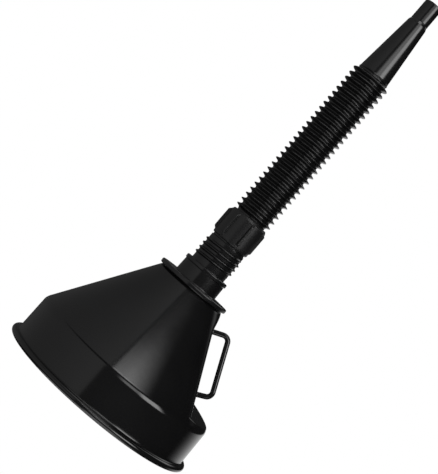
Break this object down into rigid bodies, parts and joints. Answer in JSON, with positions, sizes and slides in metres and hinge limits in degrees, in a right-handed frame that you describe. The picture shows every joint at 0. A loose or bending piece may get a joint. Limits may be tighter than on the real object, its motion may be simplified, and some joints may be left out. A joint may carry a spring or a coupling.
{
  "type": "filling funnel",
  "caption": "Round filling funnel with a bar handle, a wire strainer in its mouth, and a ribbed flexible spout with a tapered nozzle, held by a winged screw nut.",
  "frame": {"origin": "centre of the mouth's plane, which is the bottom of the bounding box", "axes": "+Z from the mouth through the outlet to the nozzle's tip; +X towards the handle; the thread is right-handed"},
  "size_m": [0.16, 0.16, 0.3728],
  "materials": {
    "bowl_plastic": "black moulded polyethylene, half gloss",
    "fitting_plastic": "black moulded plastic, half gloss",
    "hose_plastic": "black flexible plastic, half gloss",
    "strainer_plastic": "black plastic with a dusty, fine-grained surface",
    "strainer_wire": "bright woven wire",
    "seal_rubber": "matt black rubber"
  },
  "bodies": {
    "funnel": {"funnel_body": "bowl_plastic", "handle": "bowl_plastic"},
    "strainer": {"strainer_clamp_ring": "strainer_plastic", "strainer_mesh": "strainer_wire", "strainer_support_ring": "strainer_plastic"},
    "fitting": {"spout_neck": "fitting_plastic", "neck_o_ring": "seal_rubber"},
    "seal": {"nut_seal": "seal_rubber"},
    "nut": {"coupling_nut": "fitting_plastic"},
    "cuff": {"hose_cuff": "hose_plastic"},
    "hose_1": {"hose_section_1": "hose_plastic"},
    "hose_2": {"hose_section_2": "hose_plastic"},
    "hose_3": {"hose_section_3": "hose_plastic"},
    "hose_4": {"hose_section_4": "hose_plastic"},
    "hose_5": {"hose_section_5": "hose_plastic"},
    "hose_6": {"hose_section_6": "hose_plastic"},
    "hose_7": {"hose_section_7": "hose_plastic"},
    "hose_8": {"hose_section_8": "hose_plastic"},
    "hose_9": {"hose_section_9": "hose_plastic"},
    "nozzle": {"nozzle": "hose_plastic"}
  },
  "joints": [
    {"name": "strainer_pull", "type": "slide", "parent": "funnel", "child": "strainer", "axis": [0, 0, -1], "range_m": [0, 0.05]},
    {"name": "fitting_pull", "type": "slide", "parent": "funnel", "child": "fitting", "axis": [0, 0, 1], "range_m": [0, 0.012]},
    {"name": "nut_lift", "type": "slide", "parent": "fitting", "child": "seal", "axis": [0, 0, 1], "range_m": [0, 0.01186]},
    {"name": "nut_turn", "type": "hinge", "parent": "seal", "child": "nut", "pos_m": [0, 0, 0.15], "axis": [0, 0, 1], "range_deg": [0, 1080]},
    {"name": "spout_swivel", "type": "hinge", "parent": "seal", "child": "cuff", "pos_m": [0, 0, 0.16], "axis": [0, 0, 1], "continuous": true},
    {"name": "hose_bend_1", "type": "hinge", "parent": "cuff", "child": "hose_1", "pos_m": [0, 0, 0.17579], "axis": [0, 1, 0], "range_deg": [-9, 9]},
    {"name": "hose_bend_2", "type": "hinge", "parent": "hose_1", "child": "hose_2", "pos_m": [0, 0, 0.19011], "axis": [0, 1, 0], "range_deg": [-9, 9]},
    {"name": "hose_bend_3", "type": "hinge", "parent": "hose_2", "child": "hose_3", "pos_m": [0, 0, 0.20442], "axis": [0, 1, 0], "range_deg": [-9, 9]},
    {"name": "hose_bend_4", "type": "hinge", "parent": "hose_3", "child": "hose_4", "pos_m": [0, 0, 0.21874], "axis": [0, 1, 0], "range_deg": [-9, 9]},
    {"name": "hose_bend_5", "type": "hinge", "parent": "hose_4", "child": "hose_5", "pos_m": [0, 0, 0.23306], "axis": [0, 1, 0], "range_deg": [-9, 9]},
    {"name": "hose_bend_6", "type": "hinge", "parent": "hose_5", "child": "hose_6", "pos_m": [0, 0, 0.24738], "axis": [0, 1, 0], "range_deg": [-9, 9]},
    {"name": "hose_bend_7", "type": "hinge", "parent": "hose_6", "child": "hose_7", "pos_m": [0, 0, 0.2617], "axis": [0, 1, 0], "range_deg": [-9, 9]},
    {"name": "hose_bend_8", "type": "hinge", "parent": "hose_7", "child": "hose_8", "pos_m": [0, 0, 0.27602], "axis": [0, 1, 0], "range_deg": [-9, 9]},
    {"name": "hose_bend_9", "type": "hinge", "parent": "hose_8", "child": "hose_9", "pos_m": [0, 0, 0.29034], "axis": [0, 1, 0], "range_deg": [-9, 9]},
    {"name": "hose_bend_10", "type": "hinge", "parent": "hose_9", "child": "nozzle", "pos_m": [0, 0, 0.30466], "axis": [0, 1, 0], "range_deg": [-9, 9]}
  ],
  "couplings": [
    {"joint": "nut_lift", "follows": "nut_turn", "m_per_rad": 0.00062866},
    {"joint": "hose_bend_1", "follows": "hose_bend_5", "ratio": 1},
    {"joint": "hose_bend_2", "follows": "hose_bend_5", "ratio": 1},
    {"joint": "hose_bend_3", "follows": "hose_bend_5", "ratio": 1},
    {"joint": "hose_bend_4", "follows": "hose_bend_5", "ratio": 1},
    {"joint": "hose_bend_6", "follows": "hose_bend_5", "ratio": 1},
    {"joint": "hose_bend_7", "follows": "hose_bend_5", "ratio": 1},
    {"joint": "hose_bend_8", "follows": "hose_bend_5", "ratio": 1},
    {"joint": "hose_bend_9", "follows": "hose_bend_5", "ratio": 1},
    {"joint": "hose_bend_10", "follows": "hose_bend_5", "ratio": 1}
  ]
}
